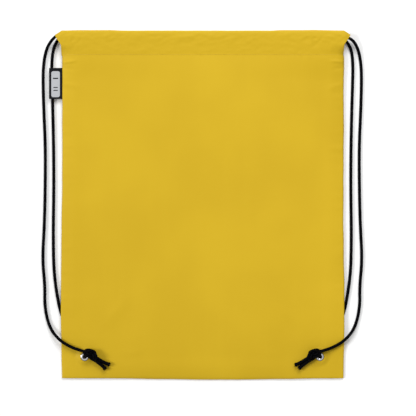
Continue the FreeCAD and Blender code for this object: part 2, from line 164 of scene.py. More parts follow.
def weave_height(graph, across, along, pitch):
    """Plain weave: threads of two directions that pass over and under each other."""
    turn = math.pi / pitch
    first = graph.math("SINE", graph.math("MULTIPLY", across, turn))
    second = graph.math("SINE", graph.math("MULTIPLY", along, turn))
    crossing = graph.math("MULTIPLY", first, second)
    ridges = graph.math("ADD", graph.math("ABSOLUTE", first), graph.math("ABSOLUTE", second))
    return graph.math("MULTIPLY_ADD", ridges, RIDGE_SHARE, graph.math("MULTIPLY", crossing, CROSSING_SHARE))


def cloth_material(name, colour, dark, light):
    """Plain-woven polyester: weave, faint streaks, and crumples that are strongest in the hem band, with
    painted shade in the weave's gaps and over the hem band below the crest.
    """
    graph = Graph(name)
    place = graph.add("ShaderNodeTexCoord").outputs["Object"]
    split = graph.add("ShaderNodeSeparateXYZ", {0: place})
    x, y = split.outputs[0], split.outputs[1]
    wander = graph.math("MULTIPLY", graph.noise(place, 350.0, 2.0), THREAD_WANDER)
    across = graph.math("ADD", x, wander)
    along = graph.math("SUBTRACT", y, wander)
    weave = weave_height(graph, across, along, CLOTH_WEAVE_PITCH)
    broad = graph.noise(place, 9.0, 2.0)
    streaks = graph.noise(place, 60.0, 3.0, stretch=(1.0, 0.12, 1.0))
    fine = graph.noise(place, 420.0, 3.0)
    tone = graph.mix(graph.ramp(broad, 0.35, 0.7), dark, colour)
    streak_share = graph.math("MULTIPLY", graph.ramp(streaks, 0.45, 0.75), STREAK_SHARE)
    tone = graph.mix(streak_share, tone, light)
    # Painted shade: the gaps between the woven threads are darkened.
    gap_shade_share = graph.math("MULTIPLY", graph.ramp(weave, 0.1, 0.7, 1.0, 0.0), GAP_SHADE_SHARE)
    tone = graph.mix(gap_shade_share, tone, dark)
    # Painted shade: the hem band from the stitches up to the crest of the fold takes the dark yellow, as if
    # it sloped away from the light; the crest itself is left unshaded.
    hem = graph.ramp(y, HEM_LOW, HEM_HIGH)
    band = graph.math("MULTIPLY", hem, graph.ramp(y, CREST_LOW, CREST_HIGH, 1.0, 0.0))
    tone = graph.mix(graph.math("MULTIPLY", band, BAND_SHADE_SHARE), tone, dark)
    crumple = graph.noise(place, 130.0, 3.0, stretch=(0.7, 1.0, 1.0))
    crumple = graph.math("MULTIPLY", crumple, graph.math("MULTIPLY_ADD", hem, 0.85, 0.15))
    normal = graph.bump(crumple, 0.0016, 0.36)
    normal = graph.bump(fine, 0.00012, 0.25, normal)
    normal = graph.bump(weave, 0.00006, 0.4, normal)
    roughness = graph.ramp(fine, 0.3, 0.7, 0.5, 0.62)
    return graph.finish(
        Base_Color=tone,
        Roughness=roughness,
        Normal=normal,
        Specular_IOR_Level=0.16,
        Sheen_Weight=0.08,
        Sheen_Roughness=0.45,
        Sheen_Tint=SHEEN_YELLOW,
    )


def cord_material():
    """Braided polyester: the UV map is turns round the cord by metres along it."""
    graph = Graph("black_braid")
    uv = graph.add("ShaderNodeTexCoord").outputs["UV"]
    split = graph.add("ShaderNodeSeparateXYZ", {0: uv})
    turns = graph.math("MULTIPLY", split.outputs[0], BRAID_TURNS)
    laps = graph.math("MULTIPLY", split.outputs[1], 1.0 / BRAID_LAY)
    first = graph.math("SINE", graph.math("MULTIPLY", graph.math("ADD", turns, laps), math.pi))
    second = graph.math("SINE", graph.math("MULTIPLY", graph.math("SUBTRACT", turns, laps), math.pi))
    plait = graph.math("MAXIMUM", graph.math("ABSOLUTE", first), graph.math("ABSOLUTE", second))
    threads = graph.noise(uv, 40.0, 3.0, stretch=(60.0, 900.0, 1.0))
    # Painted shade: the gaps between the braid's yarns are darker than the yarns.
    tone = graph.mix(graph.ramp(plait, 0.55, 1.0), BRAID_GAP_SHADE, BRAID_YARN)
    tone = graph.mix(graph.math("MULTIPLY", threads, 0.3), tone, BRAID_FIBRES)
    normal = graph.bump(plait, 0.00022, 0.8)
    normal = graph.bump(threads, 0.00005, 0.5, normal)
    return graph.finish(
        Base_Color=tone,
        Roughness=graph.ramp(plait, 0.4, 1.0, 0.7, 0.45),
        Normal=normal,
        Specular_IOR_Level=0.03,
    )


def woven_material(name, colour, dark, roughness):
    """Satin-woven ribbon, for the label."""
    graph = Graph(name)
    place = graph.add("ShaderNodeTexCoord").outputs["Object"]
    split = graph.add("ShaderNodeSeparateXYZ", {0: place})
    weave = weave_height(graph, split.outputs[0], split.outputs[1], LABEL_WEAVE_PITCH)
    speckle = graph.noise(place, 900.0, 2.0)
    # Painted shade: the low places of the weave, between its threads, take the darker colour.
    tone = graph.mix(graph.ramp(weave, 0.1, 0.65), dark, colour)
    tone = graph.mix(graph.math("MULTIPLY", speckle, 0.3), tone, dark)
    return graph.finish(
        Base_Color=tone,
        Roughness=graph.ramp(speckle, 0.3, 0.7, roughness - 0.08, roughness + 0.08),
        Normal=graph.bump(weave, 0.00006, 0.7),
        Specular_IOR_Level=0.15,
    )


def thread_material():
    """Two-ply sewing thread in the cloth's colour."""
    graph = Graph("yellow_thread")
    place = graph.add("ShaderNodeTexCoord").outputs["Object"]
    ply = graph.noise(place, 700.0, 2.0, stretch=(1.0, 2.5, 1.0))
    tone = graph.mix(graph.ramp(ply, 0.35, 0.65), THREAD_DARK, THREAD_LIGHT)
    return graph.finish(
        Base_Color=tone,
        Roughness=graph.ramp(ply, 0.3, 0.7, 0.55, 0.4),
        Normal=graph.bump(ply, 0.00008, 0.6),
    )


def metal_material():
    """Nickel plate, bright on the crown of an eyelet, with a painted dark reflection on the outer slope of
    its flange.
    """
    graph = Graph("nickel_plate")
    place = graph.add("ShaderNodeTexCoord").outputs["Object"]
    wear = graph.noise(place, 1400.0, 4.0)
    cloud = graph.noise(place, 160.0, 3.0)
    tone = graph.mix(graph.ramp(cloud, 0.4, 0.7), NICKEL, NICKEL_DULL)
    split = graph.add("ShaderNodeSeparateXYZ", {0: place})
    across = graph.math("SUBTRACT", graph.math("ABSOLUTE", split.outputs[0]), EYELET[0] * MM)
    ahead = graph.math("SUBTRACT", split.outputs[1], EYELET[1] * MM)
    squares = graph.math("ADD", graph.math("POWER", across, 2.0), graph.math("POWER", ahead, 2.0))
    radius = graph.math("SQRT", squares)
    # Painted reflection: the flange's outer slope is darkened as if it reflected dark surroundings.
    tone = graph.mix(graph.ramp(radius, RIM_START, RIM_FULL), tone, PAINTED_RIM_REFLECTION)
    return graph.finish(
        Base_Color=tone,
        Metallic=1.0,
        Roughness=graph.ramp(wear, 0.35, 0.75, 0.14, 0.32),
        Normal=graph.bump(wear, 0.00002, 0.4),
    )


def floor_material():
    graph = Graph("white_table")
    place = graph.add("ShaderNodeTexCoord").outputs["Object"]
    grain = graph.noise(place, 3.0, 2.0)
    tone = graph.mix(grain, TABLE_WHITE, TABLE_BRIGHT)
    return graph.finish(Base_Color=tone, Roughness=0.9, Specular_IOR_Level=0.1)


# ---------------------------------------------------------------- mesh helpers


def mesh_object(name, points, faces, materials, uvs=None, face_materials=None):
    """points are in mm, faces are index tuples, and uvs are one pair per face corner."""
    mesh = bpy.data.meshes.new(name)
    mesh.from_pydata([tuple(p) for p in np.asarray(points) * MM], [], faces)
    for material in materials:
        mesh.materials.append(material)
    if uvs is not None:
        layer = mesh.uv_layers.new(name="UVMap")
        layer.data.foreach_set("uv", np.asarray(uvs, np.float32).ravel())
    if face_materials is not None:
        mesh.polygons.foreach_set("material_index", face_materials)
    mesh.polygons.foreach_set("use_smooth", [True] * len(mesh.polygons))
    mesh.update()
    obj = bpy.data.objects.new(name, mesh)
    SCENE.collection.objects.link(obj)
    return obj


def carry(obj, body, slot, *nodes):
    """Puts a piece on its body, in the place of these CAD nodes; the slot argument is not used."""
    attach(obj, body)
    if nodes:
        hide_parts(*nodes)
    return obj


def unit(v):
    return v / np.maximum(np.linalg.norm(v, axis=-1, keepdims=True), 1e-12)


def line_frames(points):
    """Tangents and two normals that turn as little as possible along the line."""
    tangents = unit(np.gradient(points, axis=0))
    normal = np.cross(tangents[0], (0.0, 0.0, 1.0))
    if np.linalg.norm(normal) < 0.1:
        normal = np.cross(tangents[0], (1.0, 0.0, 0.0))
    normals = np.empty_like(points)
    for i, tangent in enumerate(tangents):
        normal = unit(normal - tangent * np.dot(normal, tangent))
        normals[i] = normal
    return tangents, normals, np.cross(tangents, normals)


def arc_lengths(points):
    steps = np.linalg.norm(np.diff(points, axis=0), axis=1)
    return np.concatenate([[0.0], np.cumsum(steps)])


BRAID_LAY = 0.0014
BRAID_YARNS = 6
BRAID_RELIEF = 0.09


class Tubes:
    """Gathers round tubes into one mesh."""

    def __init__(self):
        self.points, self.faces, self.uvs, self.count = [], [], [], 0

    def add(self, line, radii, sides=24, relief=0.0):
        """A closed tube round the line, its surface waved by relief as a braid's yarns do."""
        line = np.asarray(line, float)
        _, normals, binormals = line_frames(line)
        along = arc_lengths(line)
        angles = np.arange(sides) * 2 * math.pi / sides
        radii = np.broadcast_to(np.asarray(radii, float), (len(line),))
        bumps = np.cos(BRAID_YARNS * angles)[None, :] * np.cos(
            math.pi * along / (BRAID_LAY / MM)
        )[:, None]
        size = radii[:, None] + relief * bumps
        ring = (
            line[:, None, :]
            + size[:, :, None] * np.cos(angles)[None, :, None] * normals[:, None, :]
            + size[:, :, None] * np.sin(angles)[None, :, None] * binormals[:, None, :]
        )
        first = self.count
        self.points.append(ring.reshape(-1, 3))
        self.count += len(line) * sides
        for i in range(len(line) - 1):
            low, high = along[i] * MM, along[i + 1] * MM
            row = first + i * sides
            for j in range(sides):
                k = (j + 1) % sides
                self.faces.append((row + j, row + k, row + sides + k, row + sides + j))
                u, v = j / sides, (j + 1) / sides
                self.uvs += [(u, low), (v, low), (v, high), (u, high)]
        for row, centre, flip in (
            (first, line[0], True),
            (first + (len(line) - 1) * sides, line[-1], False),
        ):
            self.points.append(np.array([centre]))
            for j in range(sides):
                edge = (row + j, row + (j + 1) % sides)
                self.faces.append((*(edge[::-1] if flip else edge), self.count))
                self.uvs += [(0.0, 0.0)] * 3
            self.count += 1

    def build(self, name, material):
        return mesh_object(name, np.concatenate(self.points), self.faces, [material], self.uvs)


def nurbs_line(points, resolution=64):
    """Points in mm along the smooth line that has these control points."""
    curve = bpy.data.curves.new("route", "CURVE")
    curve.dimensions = "3D"
    curve.resolution_u = resolution
    spline = curve.splines.new("NURBS")
    spline.points.add(len(points) - 1)
    for point, place in zip(spline.points, points):
        point.co = (place[0] * MM, place[1] * MM, place[2] * MM, 1.0)
    spline.order_u = 3
    spline.use_endpoint_u = True
    route = bpy.data.objects.new("route", curve)
    SCENE.collection.objects.link(route)
    mesh = bpy.data.meshes.new_from_object(route)
    line = np.array([v.co for v in mesh.vertices]) / MM
    bpy.data.meshes.remove(mesh)
    bpy.data.objects.remove(route)
    bpy.data.curves.remove(curve)
    return line


# ---------------------------------------------------------------- cords

# The visible braid is fuller than the cord's nominal diameter, and the casings squeeze it.
CORD_DIAMETER = 3.2
CORD_RADIUS = CORD_DIAMETER / 2
STRAND_RADIUS = 1.88
SQUEEZED_RADIUS = 1.5
RUN_RADIUS = 1.42
MOUTH_SQUEEZE = (12, 26)
EYELET_SQUEEZE = (52, 68)
STRAND_STARTS = {
    ("left", "outer"): [(158.3, 207.4, 12.1), (171.0, 207.2, 12.0)],
    ("left", "inner"): [(158.3, 207.4, 2.3), (170.0, 207.2, 2.3), (177.0, 197.0, 2.3)],
    ("right", "outer"): [(158.3, 202.8, 12.1), (170.0, 202.9, 12.0)],
    ("right", "inner"): [(158.3, 202.8, 2.3), (169.0, 202.5, 2.3), (176.8, 195.6, 2.1)],
}
ROUTES = {
    "outer": [
        (181.5, 199.5, 8.4), (189.0, 188.0, 3.9), (192.6, 170.0, 1.7), (193.1, 149.0, 1.6),
        (192.2, 115.0, 1.6), (190.2, 70.0, 1.6), (190.4, 22.0, 1.6), (191.4, -24.0, 1.6),
        (193.9, -67.0, 1.6), (190.7, -99.0, 1.6), (191.2, -124.0, 1.6), (185.6, -149.0, 2.0),
        (173.5, -164.0, 7.9), (158.5, -172.9, 8.4), (146.0, -176.8, 10.0), (136.5, -179.6, 12.2),
    ],
    "inner": [
        (181.3, 185.5, 1.7), (182.7, 168.0, 1.6), (182.2, 146.0, 1.6), (181.2, 112.0, 1.6),
        (180.2, 66.0, 1.6), (180.0, 16.0, 1.6), (180.8, -34.0, 1.6), (180.2, -78.0, 1.6),
        (176.6, -108.0, 1.6), (171.2, -134.0, 1.6), (161.0, -155.0, 1.6), (152.0, -169.5, 1.6),
        (145.8, -179.0, 1.65), (142.1, -184.3, 1.9), (142.1, -184.3, 8.6), (141.6, -181.4, 12.8),
    ],
}
RUN_LANES = {"left": 207.2, "right": 202.8}
RUN_FRONT, RUN_BACK = 12.1, 2.3
RUN_OWN_END, RUN_TURN_START, RUN_TURN_OUTSIDE = 158.0, 164.0, 168.9
RUN_SIDES, RUN_RESOLUTION = 16, 48
KNOT_CENTRE = (135.5, -182.4, 13.6)
KNOT_TURN = math.radians(34)


def mirrored(points, sign):
    return [(sign * x, y, z) for x, y, z in points]


def make_strand(side, which, material):
    """One strand from the casing to the knot, thinner where the casing or the eyelet squeezes it."""
    sign = SIDES[side]
    line = nurbs_line(mirrored(STRAND_STARTS[side, which] + ROUTES[which], sign))
    tubes = Tubes()
    along = arc_lengths(line)
    squeeze = np.interp(along, [0, *MOUTH_SQUEEZE], [1, 1, 0])
    if which == "inner":
        to_go = along[-1] - along
        squeeze = np.maximum(squeeze, np.interp(to_go, [0, *EYELET_SQUEEZE], [1, 1, 0]))
    radii = STRAND_RADIUS - (STRAND_RADIUS - SQUEEZED_RADIUS) * squeeze
    line[:, 2] = np.maximum(line[:, 2], radii + BRAID_RELIEF)
    tubes.add(line, radii, relief=BRAID_RELIEF)
    strand = tubes.build(f"{side}_{which}_strand_braid", material)
    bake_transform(strand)
    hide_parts(f"{side}_{which}_strand")
    return strand, line


def make_run(side, material):
    """The part of a cord inside the casings, along the front, round, and back along the back."""
    sign, lane = SIDES[side], RUN_LANES[side]
    far = -sign
    route = [(sign * RUN_OWN_END, lane, RUN_FRONT), (sign * RUN_OWN_END * 0.5, lane, RUN_FRONT)]
    route += [(far * RUN_OWN_END * 0.5, lane, RUN_FRONT), (far * RUN_TURN_START, lane, RUN_FRONT)]
    route += [(far * RUN_TURN_OUTSIDE, lane, RUN_FRONT), (far * RUN_TURN_OUTSIDE, lane, RUN_BACK)]
    route += [(far * RUN_TURN_START, lane, RUN_BACK), (far * RUN_OWN_END * 0.5, lane, RUN_BACK)]
    route += [(sign * RUN_OWN_END * 0.5, lane, RUN_BACK), (sign * RUN_OWN_END, lane, RUN_BACK)]
    tubes = Tubes()
    tubes.add(nurbs_line(route, RUN_RESOLUTION), RUN_RADIUS, sides=RUN_SIDES)
    run = tubes.build(f"{side}_cord_run_braid", material)
    return carry(run, f"{side}_drawcord", "cord", f"{side}_cord_run")


def knot_axes(sign):
    """The knot's own directions: towards the tails, and square to that in plan."""
    towards = np.array([-sign * math.cos(KNOT_TURN), -math.sin(KNOT_TURN), 0.0])
    square = np.array([-towards[1], towards[0], 0.0]) * -sign
    return towards, square


KNOT_SCALE = 2.05
KNOT_STRETCH = 1.2
KNOT_LIFT = 2.8
KNOT_LOWERED = 1.3
KNOT_SHIFT = (-1.6, 2.0)
KNOT_NARROWED = 0.92
KNOT_END_REACH = 5.0
KNOT_END_PINCH = 0.75
STRAND_OFFSET = 1.5
LEAD_STEPS = 14
SMOOTHINGS = 12
TAIL_START = 6.9
TAIL_APART = 3.5
TAIL_RADIUS = 2.1
TAIL_LENGTH = 19.0
TAIL_SPLAY = {"left": math.radians(12), "right": math.radians(8)}
TAIL_TIP_HEIGHT = 9.7
TAIL_FLARE = [0.08, 0.22, 0.4, 0.55, 0.5, 0.2]
SHORTER_TAIL = 0.93
FRAY_FIBRES = 18
FIBRE_TURN = 2.4
FIBRE_LENGTH, FIBRE_EXTRA = 0.9, 1.1
FIBRE_BEND = 0.55
FIBRE_ROOT_RADIUS, FIBRE_TIP_RADIUS = 0.2, 0.09


def knot_place(sign, along, across, up):
    towards, square = knot_axes(sign)
    centre = np.array([sign * KNOT_CENTRE[0], KNOT_CENTRE[1], KNOT_CENTRE[2] - KNOT_LOWERED])
    return centre + towards * along + square * across + np.array([0.0, 0.0, up])


def make_knot(side, strand_ends, material):
    """Overhand knot in both ends of the cord at once: two strands side by side on one path."""
    sign = SIDES[side]
    turns = np.linspace(math.pi, 3 * math.pi, 150)
    along = (np.sin(turns) + 2 * np.sin(2 * turns)) * KNOT_SCALE * KNOT_STRETCH
    across = -(np.cos(turns) - 2 * np.cos(2 * turns)) * KNOT_SCALE * KNOT_NARROWED
    up = np.sin(3 * turns) * KNOT_LIFT
    fade = np.linspace(-1, 1, len(turns)) ** 9
    across = across * (1 - KNOT_END_PINCH * np.abs(fade))
    along = along + fade * KNOT_END_REACH
    up = up - fade
    path = np.array([knot_place(sign, a, c, u) for a, c, u in zip(along, across, up)])
    path[:, :2] += (1 - np.abs(fade))[:, None] * np.array([sign * KNOT_SHIFT[0], KNOT_SHIFT[1]])
    tangents = unit(np.gradient(path, axis=0))
    sideways = unit(np.cross(tangents, (0.0, 0.0, 1.0)))
    tubes = Tubes()
    for offset, end in zip((STRAND_OFFSET, -STRAND_OFFSET), strand_ends):
        strand = path + sideways * offset * sign
        lead = np.linspace(0, 1, LEAD_STEPS)[:-1, None]
        strand = np.concatenate([end * (1 - lead) + strand[0] * lead, strand])
        for _ in range(SMOOTHINGS):
            strand[1:-1] = (strand[:-2] + 2 * strand[1:-1] + strand[2:]) / 4
        tubes.add(strand, CORD_RADIUS + 0.05, sides=20, relief=BRAID_RELIEF)
    knot = tubes.build(f"{side}_overhand_knot", material)
    return carry(knot, "bag", "cord", f"{side}_knot")


def add_fray(tubes, end, towards, first_turn):
    """Short loose fibres that stand out of a cut end."""
    side = unit(np.cross(towards, (0.0, 0.0, 1.0)))
    over = np.cross(side, towards)
    for i in range(FRAY_FIBRES):
        turn = i * FIBRE_TURN + first_turn
        out = side * math.cos(turn) + over * math.sin(turn)
        root = end + out * TAIL_RADIUS * (0.35 + 0.45 * ((i * 7) % 10) / 10)
        length = FIBRE_LENGTH + FIBRE_EXTRA * ((i * 3) % 7) / 7
        steps = np.linspace(0, 1, 5)[:, None]
        fibre = root + towards * steps * length + out * steps**2 * length * FIBRE_BEND
        tubes.add(fibre, np.linspace(FIBRE_ROOT_RADIUS, FIBRE_TIP_RADIUS, 5), sides=5)


def make_tails(side, material):
    """The two cut ends below the knot, a little flared, with loose fibres."""
    sign = SIDES[side]
    tubes = Tubes()
    for hand in (-1, 1):
        steps = np.linspace(-0.18, 1, 46)
        reach = TAIL_LENGTH * (1.0 if hand > 0 else SHORTER_TAIL)
        splay = np.clip(steps, 0, 1) ** 3 * reach * math.tan(TAIL_SPLAY[side]) * 0.5
        across = hand * (TAIL_APART / 2 + splay)
        drop = KNOT_CENTRE[2] - CORD_RADIUS - TAIL_TIP_HEIGHT
        height = -CORD_RADIUS - drop * np.clip(steps, 0, 1) ** 0.8
        line = [
            knot_place(sign, TAIL_START + reach * s, c, h) for s, c, h in zip(steps, across, height)
        ]
        flare = np.full(len(steps), TAIL_RADIUS)
        flare[-len(TAIL_FLARE) :] += np.array(TAIL_FLARE)
        tubes.add(line, flare, sides=24, relief=BRAID_RELIEF)
        towards = unit(np.array(line[-1]) - np.array(line[-4]))
        add_fray(tubes, np.array(line[-2]), towards, hand + sign * 0.5)
    tails = tubes.build(f"{side}_cord_tails_cut", material)
    return carry(tails, "bag", "cord", f"{side}_cord_tails")


# ---------------------------------------------------------------- cloth shape

HALF_WIDTH = 170.0
BOTTOM, STITCH_LINE, TOP = -210.0, 180.0, 210.0
EYELET = (142.2, -184.4)
SIDE_SEAM = 3.3
LABEL_SEAM = 6.1
OVER_CORD = 5.1
CORNER_SEAM = 2.4
BOTTOM_SEAM = 1.7
EYELET_FRONT, EYELET_BACK = 6.78, 5.42
LOWEST_PANEL, LOWEST_CASING = 0.18, 0.16
BACK_CASING_END = 0.3
MIRROR_SUM = 14.4
LINING_GAP = 0.42
FRONT_SEED, BACK_SEED = 41.0, 71.0
BACK_RIPPLE = -0.3
CLOTH_HOLE = 3.5
CLOTH_THICKNESS = 0.3
CASING_OUTLINE = ([180.0, 192.5, 198.5, 204.7, 210.0], [170.0, 170.5, 174.6, 178.2, 170.0])
INNER_WIDTH = 150.0
LEAN = 0.8
FRONT_CASING = [
    (180.0, 11.8), (181.5, 11.88), (184.0, 12.05), (188.0, 12.4), (192.0, 12.8), (196.0, 13.2),
    (199.5, 13.6), (202.0, 13.9), (204.5, 14.17), (208.0, 14.22), (209.1, 13.82), (209.8, 13.0),
    (210.0, 12.1),
]
FRONT_LINING = [
    (209.75, 11.4), (209.2, 10.8), (208.4, 10.45), (207.2, 10.2), (203.0, 10.12), (196.0, 10.12),
    (189.0, 10.15), (184.5, 10.5), (182.0, 11.2), (180.6, 11.6),
]


def smooth(t):
    t = min(max(t, 0.0), 1.0)
    return t * t * (3 - 2 * t)


def wave(x, y=0.0, seed=0.0):
    """Smooth noise between about -1 and 1."""
    return noise.noise(Vector((x, y, seed))) * 1.6


def seam_height(x, y):
    """The seams lie low, and rise where a cord passes underneath and where the label is sewn in."""
    side = SIDE_SEAM + (OVER_CORD - SIDE_SEAM) * smooth((-88 - y) / 35)
    side += (CORNER_SEAM - OVER_CORD) * smooth((-160 - y) / 25)
    if x < 0:
        side += (LABEL_SEAM - SIDE_SEAM) * smooth((y - 50) / 70)
    else:
        side += 1.2 * smooth((y - 110) / 60)
    bottom = BOTTOM_SEAM + (CORNER_SEAM - BOTTOM_SEAM) * smooth((abs(x) - 62) / 55)
    from_side, from_bottom = max(HALF_WIDTH - abs(x), 0.0), max(y - BOTTOM, 0.0)
    share = from_bottom / max(from_side + from_bottom, 1e-6)
    return side * share + bottom * (1 - share)


def fullness(x, y):
    """0 at a seam and 1 well inside the bag, rising steeply from the seam."""
    sides = 1 - math.exp(-max(HALF_WIDTH - abs(x), 0.0) / 40)
    foot = 1 - math.exp(-max(y - BOTTOM, 0.0) / 20)
    return sides**0.8 * foot**0.7


def seam_bulk(x, y):
    """The allowances inside make the cloth stand a little along the side and bottom seams."""
    gap = min(HALF_WIDTH - abs(x), y - BOTTOM)
    return 0.5 * smooth(gap / 1.4) * smooth((28 - gap) / 16)


def eyelet_gap(x, y):
    """Distance in plan from the nearer eyelet's centre."""
    return math.hypot(abs(x) - EYELET[0], y - EYELET[1])


def held_by_eyelet(x, y):
    """1 where an eyelet clamps the cloth, falling to 0 at 12 mm from its centre."""
    return smooth((12.0 - eyelet_gap(x, y)) / 7.0)


def off_the_edge(x):
    """Nearly 0 at a side seam and 1 from 2.1 mm inside it, so that ripples die at the seam."""
    return smooth((HALF_WIDTH - abs(x)) / 2.5 + 0.15)


def creases(x, y):
    """Short ridges that run in from the side seams, and pulls from the bottom corners."""
    total = 0.0
    for sx, sy, ex, ey, width, height in CREASES:
        dx, dy = ex - sx, ey - sy
        length = math.hypot(dx, dy)
        t = ((x - sx) * dx + (y - sy) * dy) / length**2
        if -0.4 < t < 1.4:
            off = ((x - sx) * dy - (y - sy) * dx) / length
            ends = smooth((t + 0.4) / 0.5) * smooth((1.4 - t) / 0.7)
            total += height * ends * math.exp(-((off / width) ** 2))
    return total


CREASES = [
    (-170, 171, -155, 173, 1.6, 0.8), (-169, 165, -157, 163, 2.0, -0.4),
    (-170, 147, -152, 142, 2.0, 0.6), (-170, 139, -158, 135, 2.2, -0.3),
    (170, 172, 156, 173, 1.6, 0.8), (170, 165, 158, 164, 2.0, -0.4),
    (170, 146, 154, 141, 2.0, 0.55), (169, 137, 158, 134, 2.2, -0.25),
    (-168, 72, -158, 70, 2.4, 0.25), (168, 66, 157, 68, 2.6, 0.25),
    (-169, 22, -160, 24, 2.2, 0.2), (169, 8, 160, 10, 2.4, 0.22),
    (-169, -54, -159, -52, 2.6, 0.22), (169, -60, 160, -58, 2.6, 0.2),
    (-128, -160, -96, -120, 7.0, 0.5), (128, -158, 92, -124, 7.0, 0.5),
    (-120, -186, -78, -178, 5.0, 0.35), (120, -188, 80, -180, 5.0, 0.35),
]


def hem_puckers(x, y):
    """Short ridges across the row of stitches, stronger in some places than in others."""
    amount = 0.2 + 0.22 * smooth(0.5 + wave(x / 34, 0.0, 15.0))
    return amount * math.exp(-abs(y - STITCH_LINE - 1) / 4) * wave(x / 3.4, y / 14, 13.0)


def puckers(x, y, seed):
    """Small waves that sewing pulls into the cloth beside the seams and the hem."""
    from_side = max(HALF_WIDTH - abs(x), 0.0)
    hand = seed + (7.0 if x > 0 else 0.0)
    side = 0.34 * math.exp(-from_side / 8) * wave(y / 6.5, 0.0, hand)
    side += 0.25 * math.exp(-from_side / 26) * wave(y / 21, from_side / 60, hand + 1)
    hem_gap = abs(y - STITCH_LINE)
    hem = hem_puckers(x, y)
    hem += 0.34 * math.exp(-hem_gap / 22) * wave(x / 15, y / 60, seed + 3)
    foot = 0.2 * math.exp(-max(y - BOTTOM, 0) / 7) * wave(x / 8, 0, seed + 4)
    return side + hem + foot


def front_height(x, y):
    """The front panel: low at the seams, fullest towards the mouth, flat in the bottom corners."""
    edge, full = seam_height(x, y), fullness(x, y)
    inside = 7.4 + 4.4 * smooth((y - 10) / 170)
    inside += 0.45 * wave(x / 95, y / 120, 3.0)
    flat = smooth((abs(x) - 76) / 28) * smooth((-128 - y) / 30)
    inside += (6.95 - inside) * flat
    height = edge + (inside - edge) * full
    ripples = puckers(x, y, 11.0) + creases(x, y) * (1 - 0.6 * flat)
    ripples *= (1 - 0.55 * flat) * off_the_edge(x)
    height += ripples
    height += seam_bulk(x, y)
    return height + (EYELET_FRONT - height) * held_by_eyelet(x, y)


def back_height(x, y):
    """The back panel: on the table in the middle, lifted at the seams and in the bottom corners."""
    edge, full = seam_height(x, y), fullness(x, y)
    lift = smooth((abs(x) - 88) / 38) * smooth((-126 - y) / 24)
    inside = 0.32 + 4.4 * lift + 0.25 * (1 + wave(x / 80, y / 90, 23.0))
    height = edge + (inside - edge) * full**0.8
    height += 0.35 * puckers(x, y, 31.0) * off_the_edge(x)
    height -= seam_bulk(x, y)
    return max(height + (EYELET_BACK - height) * held_by_eyelet(x, y), LOWEST_PANEL)


def middle_height(x, y):
    return (front_height(x, y) + back_height(x, y)) / 2


def edge_waver(x, y):
    """How far a point near the outline moves in plan, so the seams aren't ruler-straight."""
    if x > 0:
        bulge = 1.95 * math.exp(-(((y + 135) / 92) ** 2))
        side = 0.35 * wave(y / 38, 0.0, 54.0) + bulge - 0.4 * smooth(y / 60)
    else:
        bulge = 1.2 * math.exp(-(((y + 85) / 120) ** 2))
        side = 0.35 * wave(y / 38, 0.0, 51.0) + bulge * smooth((y + 217) / 32)
    side *= (abs(x) / HALF_WIDTH) ** 12
    sag = 0.7 + 1.9 * math.exp(-(((x - 20) / 88) ** 2))
    bottom = (0.4 * wave(x / 42, 0.0, 61.0) - sag) * (max(-y, 0.0) / -BOTTOM) ** 14
    lean = LEAN * smooth((y + 150) / 200)
    return math.copysign(side, x) + lean, bottom


def casing_width(y):
    return float(np.interp(y, *CASING_OUTLINE))


def casing_height(x, y, profile, front):
    """Height over the hem band: the profile, down to the side seam below the cord's way out."""
    inward = (1 - min(abs(x) / casing_width(y), 1.0)) * HALF_WIDTH
    rise = smooth((y - STITCH_LINE) / 13)
    seam = seam_height(x, STITCH_LINE)
    end = seam + (profile - seam) * rise
    height = end + (profile - end) * (1 - math.exp(-inward / 12)) ** 0.55
    if front:
        return height - 1.1 * smooth((abs(x) - 170.5) / 6)
    tip = smooth((abs(x) - 158) / 12) * smooth((y - 190) / 5)
    return height + (BACK_CASING_END - height) * tip


def band_crumples(x, y, seed):
    """Diagonal folds of the hem band between the cord and the stitches."""
    window = smooth((y - 181) / 5) * smooth((205.5 - y) / 6)
    slant = wave((x + 0.8 * y) / 7, (y - 0.3 * x) / 13, seed)
    other = wave((x - 1.1 * y) / 9, (y + 0.4 * x) / 15, seed + 2)
    ridges = (0.5 - abs(slant)) * 0.75 + (0.45 - abs(other)) * 0.55
    nearer = 0.3 + 0.35 * smooth((y - 190) / 8)
    crest = 0.3 * smooth((y - 197) / 5) * smooth((209 - y) / 4) * wave(x / 7, y / 5, seed + 5)
    return window * ridges * nearer + crest + hem_puckers(x, y)


def crest_shift(x, y):
    """The fold at the mouth wavers a little and sinks towards its ends."""
    lump = 0.16 * wave(x / 24, 0.0, 81.0) * smooth((y - 204) / 5)
    ends = 0.45 * smooth((abs(x) - 138) / 30) * smooth((y - 196) / 12)
    return lump - ends - 0.6 * smooth((104 - abs(x + 9)) / 16) * smooth((y - 196) / 12)


def spaced(start, stop, step):
    return list(np.linspace(start, stop, max(2, int(round(abs(stop - start) / step)) + 1)))[:-1]


def columns():
    """From -1 to 1, closer together towards the sides."""
    turn = 0.86 * math.pi / 2
    return [math.sin(u * turn) / math.sin(turn) for u in np.linspace(-1, 1, 167)]


def sheet_rows(front):
    """The rows across a sheet as (part, y, profile height), and the casing's profile as two lists."""
    panel = [BOTTOM, -209.7, -209.2, -208.4, -207.2, -205.6, -203.6]
    panel += spaced(-201.5, -170, 1.5) + spaced(-170, 150, 2.5) + spaced(150, 180, 1.25)
    casing = spaced(180, 206, 1.15) + [206.0, 207.3, 208.2, 208.8, 209.3, 209.7, 209.9, 210.0]
    profile_ys = [y for y, _ in FRONT_CASING]
    heights = np.interp(casing, profile_ys, [on_side(z, front) for _, z in FRONT_CASING])
    rows = [("panel", y, 0.0) for y in panel]
    rows += [("casing", y, z) for y, z in zip(casing, heights)]
    rows += [("lining", y, on_side(z, front)) for y, z in FRONT_LINING]
    return rows, (casing, heights)


def on_side(z, front):
    """A front height as it is, or its mirror image on the back."""
    return z if front else MIRROR_SUM - z


def band_ripple(x, y, front):
    """Height that the crumples add to the hem band, much less on the back."""
    if front:
        return band_crumples(x, y, FRONT_SEED)
    return BACK_RIPPLE * band_crumples(x, y, BACK_SEED)


